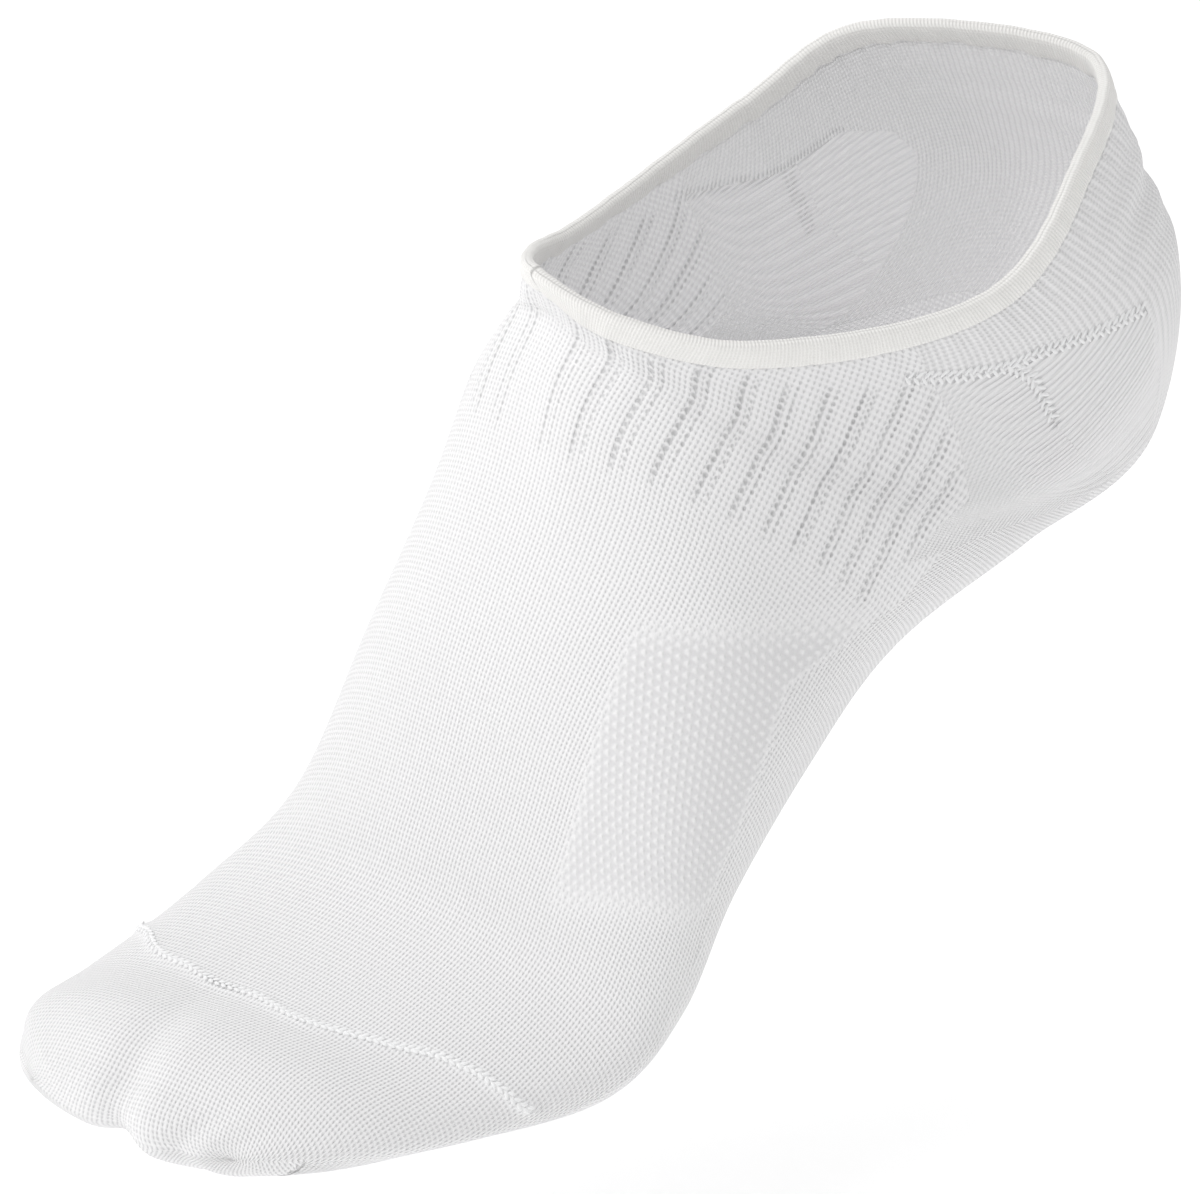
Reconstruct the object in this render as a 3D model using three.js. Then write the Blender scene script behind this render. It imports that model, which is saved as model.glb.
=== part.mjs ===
// No-show sock for a left foot, filled out as when worn, with the heel raised. Millimetres, +Z up.
// Origin in the middle of the foot opening. Toes point along -Y, the little toe side is +X.
// The knitted wall is a bent tube: it closes at the toe, swells into the heel pocket and ends at the
// opening, where a folded elastic band is joined on.
import * as THREE from 'three';

const degree = Math.PI / 180;

// Cloth thicknesses and the band
const wallThickness = 1.3;
const bandHeight = 5;
const bandThickness = 2.6;
const seamGap = 0.3;

// Mesh density: wales are lines from toe to opening, courses are rings round the foot. The toe pocket
// is linked to the foot along one of the rings.
const wales = 72;
const courses = 40;
const toeCourse = 12;
const toeCrowding = 1.25;
const samplesPerWale = 240;
const bandCorners = 12;
const bandSquareness = 4;

// Section shape shared by all rings
const widestHeight = 0.41;
const instepRoundness = 2.1;
const soleRoundness = 2.3;
const sagPower = 1.3;

// One row for each section, from the toe line (along 0) towards the opening (along 1). A section is
// cut between a point on the instep (topY, topZ) and a point on the sole (soleY, soleZ). lateral and
// medial are its half widths, ridge leans its top towards the big toe, rake slants it in plan, arch
// lifts its medial underside and sag draws its sides back from the opening.
const sectionColumns = [
  'along', 'topY', 'topZ', 'soleY', 'soleZ', 'lateral', 'medial', 'ridge', 'rake', 'arch', 'sag',
];
const sectionRows = [
  [0.00, -151, -129, -151, -129, 16, 20, 0, 0.28, 0, 0],
  [0.04, -144, -121, -150, -133, 22, 26, 3, 0.28, 0, 0],
  [0.10, -136, -116, -141, -135, 30, 35, 5, 0.30, 0, 0],
  [0.20, -117, -116, -119, -135, 38, 42, 6, 0.31, 0, 0],
  [0.30, -94, -108, -94, -135, 44, 45, 8, 0.27, 1, 0],
  [0.40, -86, -94, -69, -127, 43, 42, 9, 0.17, 2, 0],
  [0.50, -76, -65, -52, -111, 42, 41, 9, 0.09, 4, 0],
  [0.60, -66, -40, -29, -93, 40, 40, 9, 0.05, 6, 2],
  [0.70, -60, -20, -4, -79, 37, 40, 8, 0.02, 6, 5],
  [0.80, -56, -10, 29, -68, 37, 40, 7, 0, 4, 8],
  [0.88, -57, -7, 60, -56, 36, 39, 6, 0, 1, 11],
  [0.94, -58, -4, 65, -25, 34, 37, 6, 0, 0, 13],
];

// The opening's edge, at angles round the foot from the instep (0) towards the lateral side
const rimColumns = ['angle', 'x', 'y', 'z'];
const rimRows = [
  [0, -8, -60, 1],
  [20, 8, -54, -3],
  [45, 23, -38, -7],
  [90, 34, 3, -7],
  [135, 25, 30, 5],
  [180, -1, 55, 9],
  [225, -30, 29, 11],
  [270, -34, 4, 2],
  [315, -24, -38, -3],
  [340, -17, -54, 0],
];

// How the first stretch leaves the toe line, so that the toe is blunt and not a sharp edge
const toeNose = new THREE.Vector3(1.9, 0.1, 1.9);

// How far the middle of the toe stands forward of its corners, and where along the sock that ends
const toeBow = 4;
const toeBowEnd = 0.2;

// Soft folds. angle is round the foot in degrees, back is the distance from the opening's edge and
// turn the slant of the fold in degrees, 0 along the foot. The rest are sizes in mm, depth outwards.
const foldColumns = ['angle', 'back', 'turn', 'length', 'width', 'depth'];
const foldRows = [
  [168, 12, 82, 30, 4.5, 0.9],
  [176, 22, 96, 34, 5, -0.8],
  [160, 32, 84, 26, 5, 0.7],
  [-10, 16, 12, 16, 5, -0.7],
  [12, 22, -16, 18, 6, 0.6],
  [-20, 168, 8, 16, 6, -1.2],
  [62, 192, 60, 12, 6, 0.6],
];
const foldGirthRadius = 38;
const foldFade = 9;

// Shallow ribs of the openwork zones beside the opening, on alternate wales
const ribRelief = 0.4;
const ribReach = 55;
const ribFade = 14;
const ribCentreAngle = 92;
const ribHalfSpread = 58;

const namedRows = (columns, rows) => rows.map(
  (row) => Object.fromEntries(columns.map((name, index) => [name, row[index]])),
);
const sections = namedRows(sectionColumns, sectionRows);
const rimCorners = namedRows(rimColumns, rimRows);
const folds = namedRows(foldColumns, foldRows);

const waleAngle = (wale) => (2 * Math.PI * wale) / wales;

// A point of one section at an angle round the foot, 0 on the instep and positive to the lateral side
function sectionPoint(section, angle) {
  const up = Math.cos(angle);
  const out = Math.sin(angle);
  const axis = new THREE.Vector2(section.topY - section.soleY, section.topZ - section.soleZ);
  const height = axis.length();
  const half = out > 0 ? section.lateral : section.medial;
  const bow = toeBow * Math.max(0, 1 - section.along / toeBowEnd) ** 2 * up ** 2;
  if (height === 0) {
    const x = half * out;
    return new THREE.Vector3(x, section.topY + section.rake * x - bow, section.topZ);
  }
  axis.normalize();
  const power = soleRoundness + ((instepRoundness - soleRoundness) * (1 + up)) / 2;
  const radius = (Math.abs(up) ** power + Math.abs(out) ** power) ** (-1 / power);
  const upper = Math.max(up, 0);
  const under = Math.max(-up, 0);
  const medial = Math.max(-out, 0);
  const x = half * radius * out - section.ridge * upper ** 2;
  const span = up > 0 ? (1 - widestHeight) * height : widestHeight * height;
  const arch = section.arch * (2 * under * medial) ** 2;
  const rise = widestHeight * height + span * radius * up + arch;
  const sag = section.sag * Math.abs(out) ** sagPower * (1 + up) / 2;
  return new THREE.Vector3(
    x,
    section.soleY + rise * axis.x - sag * axis.y + section.rake * x - bow,
    section.soleZ + rise * axis.y + sag * axis.x,
  );
}

// Cubic stretch between two points, from the slopes at its ends
function cubicPoint(start, startSlope, end, endSlope, t) {
  const t2 = t * t;
  const t3 = t2 * t;
  return start.clone().multiplyScalar(2 * t3 - 3 * t2 + 1)
    .addScaledVector(startSlope, t3 - 2 * t2 + t)
    .addScaledVector(end, 3 * t2 - 2 * t3)
    .addScaledVector(endSlope, t3 - t2);
}

// A point on the opening's edge, on a smooth closed curve through its corners
function rimPoint(angle) {
  const count = rimCorners.length;
  const place = angle / degree;
  const first = rimCorners.findLastIndex((corner) => corner.angle <= place);
  const corner = (step) => {
    const row = rimCorners[(first + step + count) % count];
    const laps = Math.floor((first + step) / count);
    return { angle: row.angle + 360 * laps, point: new THREE.Vector3(row.x, row.y, row.z) };
  };
  const span = corner(1).angle - corner(0).angle;
  const slope = (step) => corner(step + 1).point.sub(corner(step - 1).point)
    .multiplyScalar(span / (corner(step + 1).angle - corner(step - 1).angle));
  const share = (place - corner(0).angle) / span;
  return cubicPoint(corner(0).point, slope(0), corner(1).point, slope(1), share);
}

// One wale as a dense line from the toe to the opening's edge, with its length measured
function waleLine(angle) {
  const places = [...sections.map((section) => section.along), 1];
  const keys = [...sections.map((section) => sectionPoint(section, angle)), rimPoint(angle)];
  const last = keys.length - 1;
  const chord = (index) => keys[index + 1].clone().sub(keys[index])
    .divideScalar(places[index + 1] - places[index]);
  const slopes = keys.map((key, index) => {
    if (index === 0) return chord(0).multiply(toeNose);
    if (index === last) return chord(last - 1);
    const before = places[index] - places[index - 1];
    const after = places[index + 1] - places[index];
    return chord(index).multiplyScalar(before).addScaledVector(chord(index - 1), after)
      .divideScalar(before + after);
  });
  const points = [];
  const lengths = [];
  for (let sample = 0; sample <= samplesPerWale; sample += 1) {
    const along = sample / samplesPerWale;
    let index = 0;
    while (index < last - 1 && places[index + 1] <= along) index += 1;
    const span = places[index + 1] - places[index];
    const point = cubicPoint(
      keys[index],
      slopes[index].clone().multiplyScalar(span),
      keys[index + 1],
      slopes[index + 1].clone().multiplyScalar(span),
      (along - places[index]) / span,
    );
    lengths.push(sample === 0 ? 0 : lengths[sample - 1] + point.distanceTo(points[sample - 1]));
    points.push(point);
  }
  return { points, lengths, total: lengths[samplesPerWale] };
}

function pointAtLength(line, length) {
  let index = 0;
  while (index < samplesPerWale - 1 && line.lengths[index + 1] < length) index += 1;
  const share = (length - line.lengths[index]) / (line.lengths[index + 1] - line.lengths[index]);
  return line.points[index].clone().lerp(line.points[index + 1], share);
}

const waleLines = Array.from({ length: wales }, (_, wale) => waleLine(waleAngle(wale)));

// Rings of points from the toe to a given distance short of the opening's edge
function courseRings(shortOfEdge) {
  return Array.from({ length: courses + 1 }, (_, course) => waleLines.map(
    (line) => pointAtLength(line, (line.total - shortOfEdge) * (course / courses) ** toeCrowding),
  ));
}

// Distance of each ring's points from the opening's edge, along the cloth
function courseBacks(shortOfEdge) {
  return Array.from({ length: courses + 1 }, (_, course) => waleLines.map(
    (line) => line.total - (line.total - shortOfEdge) * (course / courses) ** toeCrowding,
  ));
}

// At the toe line the two faces of the first ring meet, so each pair of wales there shares one point
const toePartner = (wale) => Math.min(wale, (wales / 2 - wale + wales) % wales);
const pointIndex = (ring, wale, closedToe) => (
  ring === 0 && closedToe ? toePartner(wale % wales) : ring * wales + (wale % wales)
);

function wallTriangles(ringCount, closedToe, offset, flipped) {
  const triangles = [];
  for (let ring = 0; ring < ringCount - 1; ring += 1) {
    for (let wale = 0; wale < wales; wale += 1) {
      const corners = [
        pointIndex(ring, wale, closedToe),
        pointIndex(ring, wale + 1, closedToe),
        pointIndex(ring + 1, wale + 1, closedToe),
        pointIndex(ring + 1, wale, closedToe),
      ].map((corner) => corner + offset);
      const pair = [[corners[0], corners[1], corners[2]], [corners[0], corners[2], corners[3]]];
      pair.forEach(([a, b, c]) => triangles.push(flipped ? [a, c, b] : [a, b, c]));
    }
  }
  return triangles;
}

// Smooth outward direction at each point, from the triangles round it
function outwardDirections(points, triangles) {
  const directions = points.map(() => new THREE.Vector3());
  triangles.forEach(([a, b, c]) => {
    const side = points[b].clone().sub(points[a]);
    const facing = side.cross(points[c].clone().sub(points[a]));
    [a, b, c].forEach((corner) => directions[corner].add(facing));
  });
  return directions.map((direction) => direction.normalize());
}

// Nearest turn between two angles in degrees
const angleBetween = (first, second) => ((first - second + 540) % 360) - 180;

// Folds die out towards the band, which holds the edge smooth
function foldHeight(angle, back) {
  const fade = THREE.MathUtils.smoothstep(back - bandHeight, 0, foldFade);
  return fade * folds.reduce((height, fold) => {
    const round = angleBetween(angle / degree, fold.angle) * degree * foldGirthRadius;
    const along = back - fold.back;
    const across = round * Math.cos(fold.turn * degree) + along * Math.sin(fold.turn * degree);
    const down = along * Math.cos(fold.turn * degree) - round * Math.sin(fold.turn * degree);
    return height + fold.depth * Math.exp(-((across / fold.width) ** 2) - (down / fold.length) ** 2);
  }, 0);
}

function ribHeight(wale, back) {
  if (wale % 2 === 1) return 0;
  const fromCentre = Math.abs(Math.abs(angleBetween(waleAngle(wale) / degree, 0)) - ribCentreAngle);
  const spread = THREE.MathUtils.smoothstep(ribHalfSpread - fromCentre, 0, ribFade);
  const reach = THREE.MathUtils.smoothstep(ribReach - back, 0, ribFade);
  return ribRelief * spread * reach;
}

function meshFrom(points, triangles, name, material) {
  const geometry = new THREE.BufferGeometry();
  geometry.setAttribute('position', new THREE.Float32BufferAttribute(points.flatMap((p) => p.toArray()), 3));
  geometry.setIndex(triangles.flat());
  geometry.computeVertexNormals();
  const mesh = new THREE.Mesh(geometry, material);
  mesh.name = name;
  return mesh;
}

const knitMaterial = new THREE.MeshStandardMaterial({ color: 0xf2f3f5, roughness: 0.92, metalness: 0 });
const bandMaterial = new THREE.MeshStandardMaterial({ color: 0xf0eeeb, roughness: 0.85, metalness: 0 });

// The knitted wall from the toe to just below the band, as the rings of its outside and its inside:
// folds move the whole wall, ribs only its outside
function knittedWall() {
  const shortOfEdge = bandHeight + seamGap;
  const backs = courseBacks(shortOfEdge).flat();
  const basePoints = courseRings(shortOfEdge).flat();
  const triangles = wallTriangles(courses + 1, true, 0, false);
  const baseOutward = outwardDirections(basePoints, triangles);
  const folded = basePoints.map((point, index) => point.clone().addScaledVector(
    baseOutward[index],
    foldHeight(waleAngle(index % wales), backs[index]),
  ));
  const outward = outwardDirections(folded, triangles);
  const outer = folded.map((point, index) => point.clone().addScaledVector(
    outward[index],
    ribHeight(index % wales, backs[index]),
  ));
  const inner = folded.map((point, index) => point.clone().addScaledVector(outward[index], -wallThickness));
  return [outer, inner];
}

// Draws one ring of points back towards another by half the gap at a seam
const drawnBack = (ring, other) => ring.map(
  (point, wale) => point.clone().add(other[wale].clone().sub(point).setLength(seamGap / 2)),
);

// One closed piece of the wall, from its first ring to its last, short of the seam on either side
function buildWallPiece(faces, first, last, name) {
  const closedToe = first === 0;
  const points = faces.flatMap((face) => {
    const rings = Array.from({ length: last - first + 1 }, (_, ring) => (
      face.slice((first + ring) * wales, (first + ring + 1) * wales)
    ));
    const end = rings.length - 1;
    if (!closedToe) rings[0] = drawnBack(rings[0], rings[1]);
    if (last < courses) rings[end] = drawnBack(rings[end], rings[end - 1]);
    return rings.flat();
  });
  const ringCount = last - first + 1;
  const shift = ringCount * wales;
  const triangles = [
    ...wallTriangles(ringCount, closedToe, 0, false),
    ...wallTriangles(ringCount, closedToe, shift, true),
  ];
  for (let wale = 0; wale < wales; wale += 1) {
    const here = pointIndex(ringCount - 1, wale, closedToe);
    const next = pointIndex(ringCount - 1, wale + 1, closedToe);
    triangles.push([here, next, next + shift], [here, next + shift, here + shift]);
    if (!closedToe) {
      const start = pointIndex(0, wale, closedToe);
      const after = pointIndex(0, wale + 1, closedToe);
      triangles.push([start, after + shift, after], [start, start + shift, after + shift]);
    }
  }
  return meshFrom(points, triangles, name, knitMaterial);
}

// Direction out of the cloth at each point of a ring near the opening
function ringOutward(ring, rises) {
  return ring.map((point, wale) => {
    const next = ring[(wale + 1) % wales];
    const previous = ring[(wale + wales - 1) % wales];
    return next.clone().sub(previous).cross(rises[wale]).normalize();
  });
}

// The folded band: a rounded strip standing on the wall's edge, all round the opening
function buildTopBand() {
  const edges = waleLines.map((line) => pointAtLength(line, line.total));
  const roots = waleLines.map((line) => pointAtLength(line, line.total - bandHeight));
  const rises = edges.map((edge, wale) => edge.clone().sub(roots[wale]).normalize());
  const edgeOutward = ringOutward(edges, rises);
  const rootOutward = ringOutward(roots, rises);
  const points = edges.flatMap((edge, wale) => Array.from({ length: bandCorners }, (_, corner) => {
    const turn = (2 * Math.PI * corner) / bandCorners;
    const up = Math.abs(Math.cos(turn));
    const out = Math.abs(Math.sin(turn));
    const swell = (up ** bandSquareness + out ** bandSquareness) ** (-1 / bandSquareness);
    const height = (1 + swell * Math.cos(turn)) / 2;
    const outward = rootOutward[wale].clone().lerp(edgeOutward[wale], height).normalize();
    const offset = (bandThickness / 2) * swell * Math.sin(turn) - wallThickness / 2;
    return roots[wale].clone().lerp(edge, height).addScaledVector(outward, offset);
  }));
  const triangles = [];
  for (let wale = 0; wale < wales; wale += 1) {
    for (let corner = 0; corner < bandCorners; corner += 1) {
      const here = wale * bandCorners;
      const there = ((wale + 1) % wales) * bandCorners;
      const after = (corner + 1) % bandCorners;
      triangles.push(
        [here + corner, here + after, there + after],
        [here + corner, there + after, there + corner],
      );
    }
  }
  return meshFrom(points, triangles, 'top_band', bandMaterial);
}

const sock = new THREE.Group();
const wall = knittedWall();
sock.add(buildWallPiece(wall, 0, toeCourse, 'toe_pocket'));
sock.add(buildWallPiece(wall, toeCourse, courses, 'sock_body'));
sock.add(buildTopBand());

export default sock;
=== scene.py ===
import math
import bmesh
import bpy
import numpy as np
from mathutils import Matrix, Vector


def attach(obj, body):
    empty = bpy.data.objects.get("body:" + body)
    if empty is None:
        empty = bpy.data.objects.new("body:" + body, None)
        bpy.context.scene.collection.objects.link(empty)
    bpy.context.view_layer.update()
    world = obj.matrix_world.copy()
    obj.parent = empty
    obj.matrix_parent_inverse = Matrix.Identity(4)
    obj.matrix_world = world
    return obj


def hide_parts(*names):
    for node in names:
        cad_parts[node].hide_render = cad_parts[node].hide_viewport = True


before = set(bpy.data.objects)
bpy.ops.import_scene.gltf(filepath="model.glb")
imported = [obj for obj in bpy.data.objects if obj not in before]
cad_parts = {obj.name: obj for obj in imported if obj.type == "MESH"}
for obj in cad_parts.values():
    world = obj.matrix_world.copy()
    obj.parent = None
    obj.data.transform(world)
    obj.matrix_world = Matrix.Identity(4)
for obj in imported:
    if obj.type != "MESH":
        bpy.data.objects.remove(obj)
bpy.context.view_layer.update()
print("frame loaded")

millimetre = 0.001


# Surface of the sock
# Lengths are in millimetres until a mesh is made. Angles go round the foot: 0 on the instep,
# 90 on the little toe side. `length` runs along the cloth from the toe, `back` from the edge.
form = {
    "columns": ("along", "topY", "topZ", "soleY", "soleZ", "lateral", "medial", "ridge", "rake",
                "arch", "sag"),
    "sections": (
        (0.00, -151, -129, -151, -129, 16, 20, 0, 0.28, 0, 0),
        (0.04, -144, -121, -150, -133, 22, 26, 3, 0.28, 0, 0),
        (0.10, -136, -116, -141, -135, 30, 35, 5, 0.30, 0, 0),
        (0.20, -117, -116, -119, -135, 38, 42, 6, 0.31, 0, 0),
        (0.30, -94, -108, -94, -135, 44, 45, 8, 0.27, 1, 0),
        (0.40, -86, -94, -69, -127, 43, 42, 9, 0.17, 2, 0),
        (0.50, -76, -65, -52, -111, 42, 41, 9, 0.09, 4, 0),
        (0.60, -66, -40, -29, -93, 40, 40, 9, 0.05, 6, 2),
        (0.70, -60, -20, -4, -79, 37, 40, 8, 0.02, 6, 5),
        (0.80, -56, -10, 29, -68, 37, 40, 7, 0, 4, 8),
        (0.88, -57, -7, 60, -56, 36, 39, 6, 0, 1, 11),
        (0.94, -58, -4, 65, -25, 34, 37, 6, 0, 0, 13),
    ),
    # angle, x, y, z of the opening's edge
    "rim": (
        (0, -8, -60, 1), (20, 8, -54, -3), (45, 23, -38, -7), (90, 34, 3, -7), (135, 25, 30, 5),
        (180, -1, 55, 9), (225, -30, 29, 11), (270, -34, 4, 2), (315, -24, -38, -3),
        (340, -17, -54, 0),
    ),
    "widestHeight": 0.41,
    "instepRoundness": 2.1,
    "soleRoundness": 2.3,
    "sagPower": 1.3,
    "toeNose": (0.6, 0.1, 1.9),
    "toeBow": 4,
    "toeBowEnd": 0.2,
    "toeUnder": 0.075,
    "waleHold": 0.65,
    "waleAlong": (0.65, 0.72, 0.76, 0.80, 0.84, 0.87, 0.90, 0.935, 0.97, 1),
    "waleSpread": (0, 0.003, 0.034, 0.07, 0.106, 0.125, 0.109, 0.07, 0.034, 0.015),
    "rimPull": 0.05,
    "rimPullAlong": (0.86, 0.92),
    "rimPullArc": (15, 40),
    "spreadArc": (0, 15, 25, 35, 45, 55, 65, 80),
    "spreadShare": (-0.4, -0.36, 0.27, 0.68, 1, 1.31, 1.68, 2),
    # The columns that courses are counted along, in degrees
    "instepLine": 30,
    "soleLine": 140,
    "angleSteps": 720,
    "alongSteps": 480,
}


def smoothStep(value, low, high):
    share = np.clip((value - low) / (high - low), 0, 1)
    return share * share * (3 - 2 * share)


def sectionRing(section, angles):
    up = np.cos(angles)
    out = np.sin(angles)
    top = np.array([section["topY"], section["topZ"]], float)
    sole = np.array([section["soleY"], section["soleZ"]], float)
    height = np.linalg.norm(top - sole)
    half = np.where(out > 0, section["lateral"], section["medial"])
    bow = form["toeBow"] * max(0, 1 - section["along"] / form["toeBowEnd"]) ** 2 * up ** 2
    if height == 0:
        x = half * out
        return np.stack([x, top[0] + section["rake"] * x - bow, np.full_like(x, top[1])], -1)
    axis = (top - sole) / height
    power = form["soleRoundness"] + (form["instepRoundness"] - form["soleRoundness"]) * (1 + up) / 2
    radius = (np.abs(up) ** power + np.abs(out) ** power) ** (-1 / power)
    x = half * radius * out - section["ridge"] * np.maximum(up, 0) ** 2
    widest = form["widestHeight"]
    span = np.where(up > 0, (1 - widest) * height, widest * height)
    arch = section["arch"] * (2 * np.maximum(-up, 0) * np.maximum(-out, 0)) ** 2
    rise = widest * height + span * radius * up + arch
    sag = section["sag"] * np.abs(out) ** form["sagPower"] * (1 + up) / 2
    y = sole[0] + rise * axis[0] - sag * axis[1] + section["rake"] * x - bow
    z = sole[1] + rise * axis[1] + sag * axis[0]
    return np.stack([x, y, z], -1)


def cubic(start, startSlope, end, endSlope, t):
    t2 = t * t
    t3 = t2 * t
    first = start * (2 * t3 - 3 * t2 + 1) + startSlope * (t3 - 2 * t2 + t)
    return first + end * (3 * t2 - 2 * t3) + endSlope * (t3 - t2)


def rimRing(angles):
    rim = np.array(form["rim"], float)
    turn = np.array([360, 0, 0, 0])
    laps = np.concatenate([rim[-2:] - turn, rim, rim[:2] + turn])
    place = np.degrees(angles) % 360
    i = np.searchsorted(laps[:, 0], place, side="right") - 1
    at = laps[:, 0]
    span = (at[i + 1] - at[i])[:, None]

    def slope(k):
        return (laps[k + 1, 1:] - laps[k - 1, 1:]) * span / (at[k + 1] - at[k - 1])[:, None]

    return cubic(laps[i, 1:], slope(i), laps[i + 1, 1:], slope(i + 1), (place - at[i])[:, None] / span)


def makeField():
    angles = np.radians(np.arange(form["angleSteps"]) * 360 / form["angleSteps"])
    sections = [dict(zip(form["columns"], row)) for row in form["sections"]]
    keys = np.array([sectionRing(section, angles) for section in sections] + [rimRing(angles)])
    places = np.array([section["along"] for section in sections] + [1.0])
    step = np.diff(places)[:, None, None]
    chord = np.diff(keys, axis=0) / step
    middle = (chord[1:] * step[:-1] + chord[:-1] * step[1:]) / (step[1:] + step[:-1])
    slopes = np.concatenate([chord[:1] * np.array(form["toeNose"]), middle, chord[-1:]])
    along = np.linspace(0, 1, form["alongSteps"] + 1)
    i = np.clip(np.searchsorted(places, along, side="right") - 1, 0, len(places) - 2)
    span = (places[i + 1] - places[i])[:, None, None]
    share = (along - places[i])[:, None, None] / span
    points = cubic(keys[i], slopes[i] * span, keys[i + 1], slopes[i + 1] * span, share)
    steps = np.linalg.norm(np.diff(points, axis=0), axis=2)
    length = np.concatenate([np.zeros((1, len(angles))), np.cumsum(steps, axis=0)])
    sides = np.linalg.norm(np.roll(points, -1, 1) - points, axis=2)
    arc = np.concatenate([np.zeros((len(points), 1)), np.cumsum(sides, 1)], 1)
    girth = arc[:, -1:]
    arc = arc[:, :-1]
    instepArc = np.where(arc > girth / 2, arc - girth, arc)
    half = form["angleSteps"] // 2
    soleArc = arc - arc[:, half:half + 1]
    perDegree = form["angleSteps"] / 360
    held = int(form["waleHold"] * form["alongSteps"])
    spread = np.interp(along, form["waleAlong"], form["waleSpread"])[:, None]
    spread = 1 + spread * np.interp(np.abs(instepArc[held]), form["spreadArc"], form["spreadShare"])
    pull = np.interp(np.abs(instepArc[held]), form["rimPullArc"], (form["rimPull"], 0))
    spread = spread - pull * smoothStep(along, *form["rimPullAlong"])[:, None]
    wale = np.where(along[:, None] > form["waleHold"], instepArc[held] * spread, instepArc)
    # Under the toes the wales run on from above
    quarter = half // 2
    under = form["toeUnder"]
    for side, way in ((slice(quarter, half), 1), (slice(half, half + quarter), -1)):
        edge = half - way * quarter
        turned = instepArc[:, [edge]] + soleArc[:, [edge]] - soleArc[:, side]
        wale[:, side] = np.where(along[:, None] < under, turned, wale[:, side])
    return {
        "points": points,
        "length": length,
        "total": length[-1],
        "instepArc": instepArc,
        "wale": wale,
        "soleArc": soleArc,
        "instepCourse": (length + length[:, [int(form["instepLine"] * perDegree)]]) / 2,
        "soleCourse": (length + length[:, [int(form["soleLine"] * perDegree)]]) / 2,
    }


field = makeField()


def sampleLines(columns, lengths):
    found = {"length": lengths, "back": field["total"][columns] - lengths}
    found["angle"] = np.broadcast_to(columns * 360 / form["angleSteps"], lengths.shape)
    for name in ("instepArc", "wale", "soleArc", "instepCourse", "soleCourse"):
        lines = [np.interp(lengths[:, k], field["length"][:, c], field[name][:, c])
                 for k, c in enumerate(columns)]
        found[name] = np.stack(lines, 1)
    place = [[np.interp(lengths[:, k], field["length"][:, c], field["points"][:, c, axis])
              for k, c in enumerate(columns)] for axis in range(3)]
    found["points"] = np.moveaxis(np.array(place), 0, -1).swapaxes(0, 1)
    return found


def gridNormals(points):
    around = np.roll(points, -1, 1) - np.roll(points, 1, 1)
    onward = np.gradient(points, axis=0)
    normals = np.cross(around, onward)
    normals[0] = normals[1]
    return normals / (np.linalg.norm(normals, axis=2, keepdims=True) + 1e-9)


# Softening of the line where the upper side of the toe turns into the underside
toeRound = {
    "rows": 20,
    "turns": 90,
    "length": 12,
    "fade": 8,
}


def roundToe(points, length):
    reach = toeRound["rows"]
    share = smoothStep(toeRound["length"] - length[1:reach], 0, toeRound["fade"])[..., None]
    for turn in range(toeRound["turns"]):
        before = np.concatenate([points[1:2, toePartners(points.shape[1])], points[:reach - 1]])
        around = (np.roll(points[:reach], 1, 1) + np.roll(points[:reach], -1, 1)) / 2
        soft = (before + points[:reach] + points[1:reach + 1] + around) / 4
        points[0] = soft[0]
        points[1:reach] += share * (soft[1:] - points[1:reach])
    return points


def toePartners(count):
    # The column on the underside that meets each column of the upper side
    return (count // 2 - np.arange(count)) % count


def lineOnSurface(rows, spacing):
    rows = np.array(rows, float)
    perRow = 60
    steps = np.linspace(0, len(rows) - 1, perRow * (len(rows) - 1) + 1)
    knots = np.arange(len(rows))
    kernel = np.hanning(perRow + 1)
    kernel /= kernel.sum()

    def rounded(values):
        padded = np.pad(np.interp(steps, knots, values), perRow // 2, mode="reflect", reflect_type="odd")
        return np.convolve(padded, kernel, "valid")

    angle = rounded(rows[:, 0])
    back = rounded(rows[:, 1])
    points = pointsAt(angle, back)
    walk = np.concatenate([[0], np.cumsum(np.linalg.norm(np.diff(points, axis=0), axis=1))])
    even = np.arange(0, walk[-1], spacing)
    angle = np.interp(even, walk, angle)
    back = np.interp(even, walk, back)
    points = pointsAt(angle, back)
    around = pointsAt(angle + 1, back) - pointsAt(angle - 1, back)
    onward = pointsAt(angle, back - 0.5) - pointsAt(angle, back + 0.5)
    outward = np.cross(around, onward)
    outward /= np.linalg.norm(outward, axis=1, keepdims=True)
    return {"points": points, "outward": outward, "angle": angle, "back": back}


def pointsAt(angle, back):
    place = (np.asarray(angle) % 360) * form["angleSteps"] / 360
    low = np.floor(place).astype(int) % form["angleSteps"]
    high = (low + 1) % form["angleSteps"]
    share = (place - np.floor(place))[:, None]

    def onColumn(columns):
        found = []
        for c, b in zip(columns, back):
            at = field["total"][c] - b
            found.append([np.interp(at, field["length"][:, c], field["points"][:, c, axis])
                          for axis in range(3)])
        return np.array(found)

    return onColumn(low) * (1 - share) + onColumn(high) * share


# Lines sewn or linked on the cloth: rows of angle and distance from the edge, or from the toe
lines = {
    "toeSeam": ((-86, 53), (-70, 51), (-47, 47), (-23, 41), (-6, 38.5), (16, 38.5), (32, 43), (46, 49),
                (58, 52), (70, 53.5), (86, 56)),
    "goreNear": ((71, 11), (80, 14.5), (87, 17.5), (94, 19), (101, 21.5), (108, 25), (122, 32)),
    "goreNearBranch": ((87, 18), (90, 22), (93, 28), (96, 33.5)),
    "goreFar": ((288, 11), (277, 15.5), (269, 19.5), (258, 20), (250, 20)),
    "goreFarBranch": ((265, 20), (265, 25), (263, 31), (261, 36)),
}
measuredFromToe = ("toeSeam",)
lineSpacing = 0.4


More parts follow.
